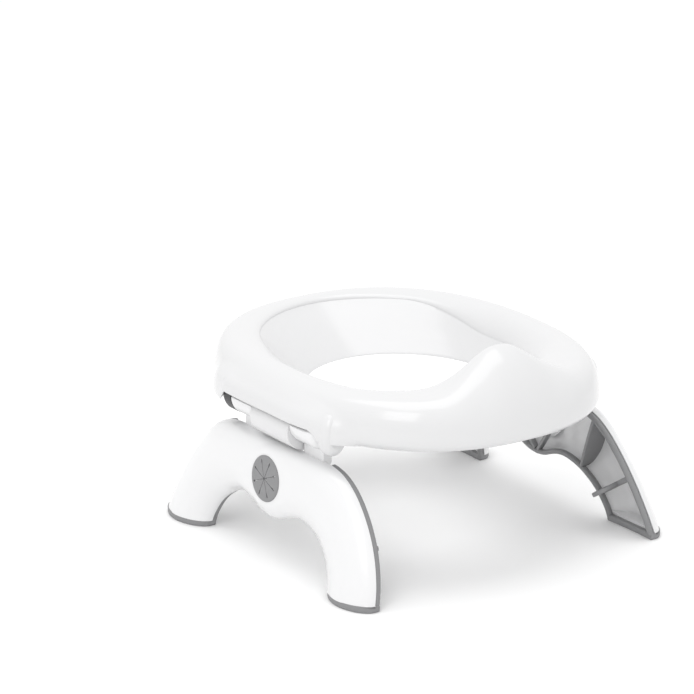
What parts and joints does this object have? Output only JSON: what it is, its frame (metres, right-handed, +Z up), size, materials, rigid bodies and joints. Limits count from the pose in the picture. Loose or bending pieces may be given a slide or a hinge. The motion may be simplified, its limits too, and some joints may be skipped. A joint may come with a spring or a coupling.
{
  "type": "folding potty training chair",
  "caption": "Folding potty chair: oval open seat with a raised front splash shield on two arched leg assemblies that swing on hinges from flat to tucked under the seat.",
  "frame": {"origin": "on the floor, under the middle of the seat's outline", "axes": "+X to the sitting child's left, across from leg assembly to leg assembly; +Y to the back of the seat, away from the splash shield; +Z up"},
  "size_m": [0.2536, 0.2682, 0.148],
  "materials": {
    "seat_plastic": "glossy white moulded plastic",
    "leg_plastic": "glossy white moulded plastic",
    "soft_grip": "matt mid-grey soft rubber",
    "grey_plastic": "matt mid-grey plastic",
    "ring_plastic": "matt dark grey plastic",
    "bush_plastic": "natural acetal",
    "pin_steel": "plain drawn steel"
  },
  "bodies": {
    "seat": {"seat_shell": "seat_plastic", "left_hinge_pin": "pin_steel", "right_hinge_pin": "pin_steel", "left_detent_ring": "ring_plastic", "right_detent_ring": "ring_plastic"},
    "left_legs": {"left_leg_shell": "leg_plastic", "left_leg_rim": "soft_grip", "left_leg_webs": "grey_plastic", "left_rear_tab": "grey_plastic", "left_front_tab": "grey_plastic", "left_slit_disc": "soft_grip", "left_disc_retainer": "grey_plastic", "left_hinge_bushes": "bush_plastic", "left_detent_ball": "pin_steel", "left_detent_spring": "pin_steel"},
    "right_legs": {"right_leg_shell": "leg_plastic", "right_leg_rim": "soft_grip", "right_leg_webs": "grey_plastic", "right_rear_tab": "grey_plastic", "right_front_tab": "grey_plastic", "right_slit_disc": "soft_grip", "right_disc_retainer": "grey_plastic", "right_hinge_bushes": "bush_plastic", "right_detent_ball": "pin_steel", "right_detent_spring": "pin_steel"}
  },
  "joints": [
    {"name": "left_leg_hinge", "type": "hinge", "parent": "seat", "child": "left_legs", "pos_m": [-0.1005, -0.0085, 0.0975], "axis": [0, 1, 0], "range_deg": [-76, 90]},
    {"name": "right_leg_hinge", "type": "hinge", "parent": "seat", "child": "right_legs", "pos_m": [0.1005, -0.0085, 0.0975], "axis": [0, -1, 0], "range_deg": [-76, 90]}
  ]
}
